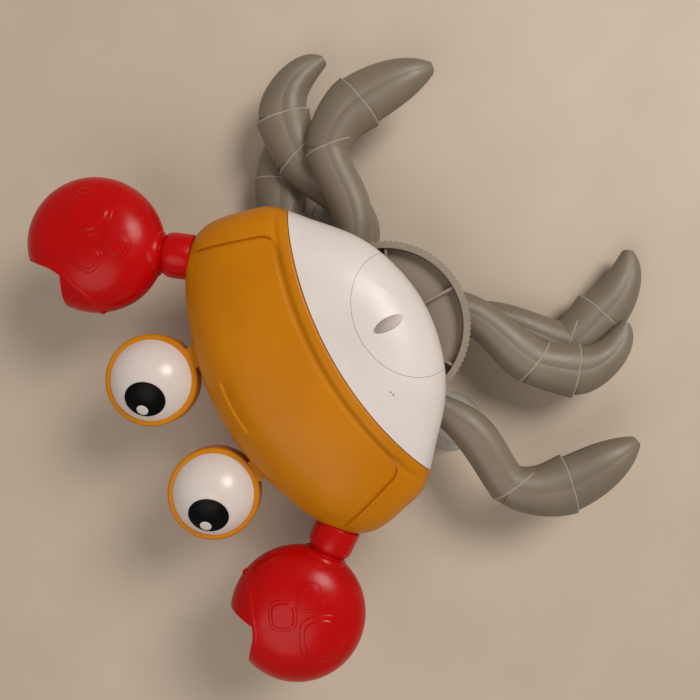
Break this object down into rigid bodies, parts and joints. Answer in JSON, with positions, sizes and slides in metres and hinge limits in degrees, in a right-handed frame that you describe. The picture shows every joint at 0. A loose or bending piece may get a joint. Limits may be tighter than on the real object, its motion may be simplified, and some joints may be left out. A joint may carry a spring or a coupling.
{
  "type": "crab figurine",
  "caption": "Moulded plastic crab that lies on suction cups; a knurled thumb wheel drives its pairs of legs in circles and its claws turn on their wrists.",
  "frame": {"origin": "on the axle of the thumb wheel, at the flat back face of the rear base", "axes": "+Z towards the crab's face, along the axle; +Y towards its eyes; +X towards its own left claw"},
  "size_m": [0.2696, 0.2649, 0.0861],
  "materials": {
    "orange_abs": "moulded, satin gloss",
    "white_abs": "moulded, satin gloss",
    "red_abs": "moulded, satin gloss",
    "leg_pp": "moulded, matt",
    "wheel_pp": "moulded, matt",
    "grey_pp": "moulded, matt",
    "clear_pvc": "soft, clear",
    "eye_white": "polished",
    "pupil_black": "polished",
    "steel": "plain"
  },
  "bodies": {
    "body": {"rear_base": "grey_pp", "suction_cup_left": "clear_pvc", "suction_cup_right": "clear_pvc", "suction_cup_top": "clear_pvc", "upper_shell": "orange_abs", "face_panel": "orange_abs", "belly_shell": "white_abs", "belly_cover": "white_abs", "back_shell": "orange_abs", "body_screws": "steel", "post_washer": "steel", "post_screw": "steel", "eye_ring_left": "orange_abs", "eye_ring_right": "orange_abs", "eyeball_left": "eye_white", "eyeball_right": "eye_white", "pupil_left": "pupil_black", "pupil_right": "pupil_black"},
    "drive": {"thumb_wheel": "wheel_pp", "front_cam": "grey_pp", "middle_cam": "grey_pp", "rear_cam": "grey_pp"},
    "front_pair": {"front_legs": "leg_pp"},
    "middle_pair": {"middle_legs": "leg_pp"},
    "rear_pair": {"rear_legs": "leg_pp"},
    "claw_left": {"wrist_left": "red_abs", "claw_front_left": "red_abs", "claw_rear_left": "red_abs"},
    "claw_right": {"wrist_right": "red_abs", "claw_front_right": "red_abs", "claw_rear_right": "red_abs"}
  },
  "joints": [
    {"name": "wheel_spin", "type": "hinge", "parent": "body", "child": "drive", "pos_m": [0, 0, 0.045], "axis": [0, 0, 1], "continuous": true},
    {"name": "front_pair_turn", "type": "hinge", "parent": "drive", "child": "front_pair", "pos_m": [-0.0041, 0.01128, 0.0349], "axis": [0, 0, 1], "continuous": true},
    {"name": "middle_pair_turn", "type": "hinge", "parent": "drive", "child": "middle_pair", "pos_m": [0.01182, -0.00208, 0.0226], "axis": [0, 0, 1], "continuous": true},
    {"name": "rear_pair_turn", "type": "hinge", "parent": "drive", "child": "rear_pair", "pos_m": [-0.00771, -0.00919, 0.0103], "axis": [0, 0, 1], "continuous": true},
    {"name": "claw_left_turn", "type": "hinge", "parent": "body", "child": "claw_left", "pos_m": [0.07049, 0.06334, 0.0541], "axis": [0.5892, 0.808, 0], "continuous": true},
    {"name": "claw_right_turn", "type": "hinge", "parent": "body", "child": "claw_right", "pos_m": [-0.07049, 0.06334, 0.0541], "axis": [-0.5892, 0.808, 0], "continuous": true}
  ],
  "couplings": [
    {"joint": "front_pair_turn", "follows": "wheel_spin", "ratio": -1},
    {"joint": "middle_pair_turn", "follows": "wheel_spin", "ratio": -1},
    {"joint": "rear_pair_turn", "follows": "wheel_spin", "ratio": -1}
  ]
}
